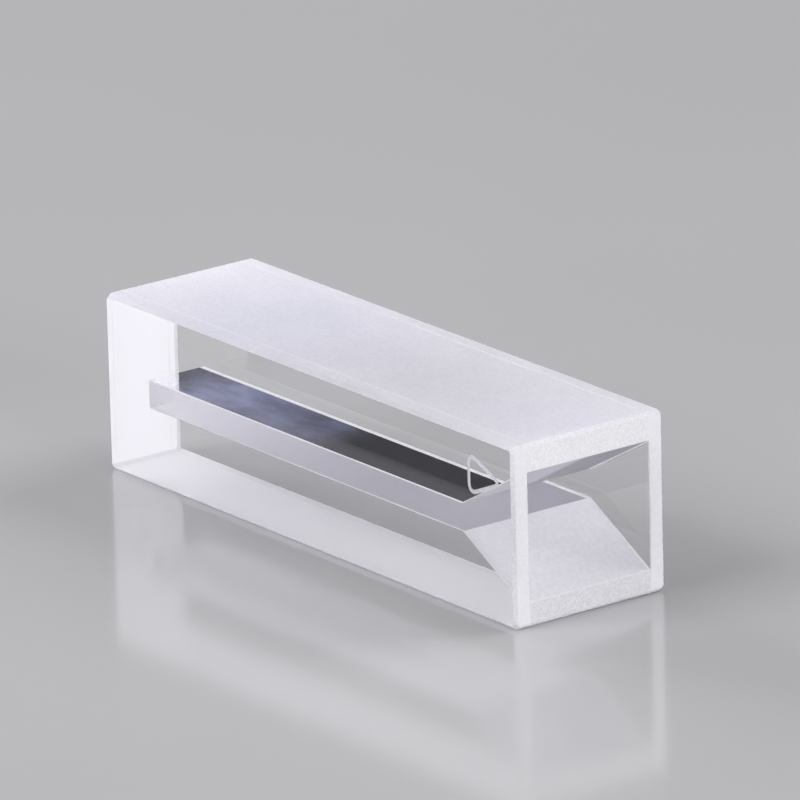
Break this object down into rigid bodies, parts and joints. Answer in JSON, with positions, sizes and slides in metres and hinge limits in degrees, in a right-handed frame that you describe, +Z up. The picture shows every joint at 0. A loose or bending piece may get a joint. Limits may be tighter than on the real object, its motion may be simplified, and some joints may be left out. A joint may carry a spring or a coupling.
{
  "type": "spectrophotometer cuvette",
  "caption": "Square fused quartz cuvette with a 10 mm light path, a narrow sample slot between ground side walls, and a funnel mouth.",
  "frame": {"origin": "middle of the ground side that the cuvette lies on", "axes": "+X along the cuvette from the base end to the mouth, +Y along the light path from the front window to the rear window, +Z up from the side it lies on"},
  "size_m": [0.045, 0.0126, 0.0125],
  "materials": {
    "ground_quartz": "finely ground, frosted white outside, clear inside",
    "polished_quartz": "optically polished and clear"
  },
  "bodies": {
    "root": {"lower_wall": "ground_quartz", "upper_wall": "ground_quartz", "floor_block": "ground_quartz", "front_window": "polished_quartz", "rear_window": "polished_quartz"}
  },
  "joints": []
}
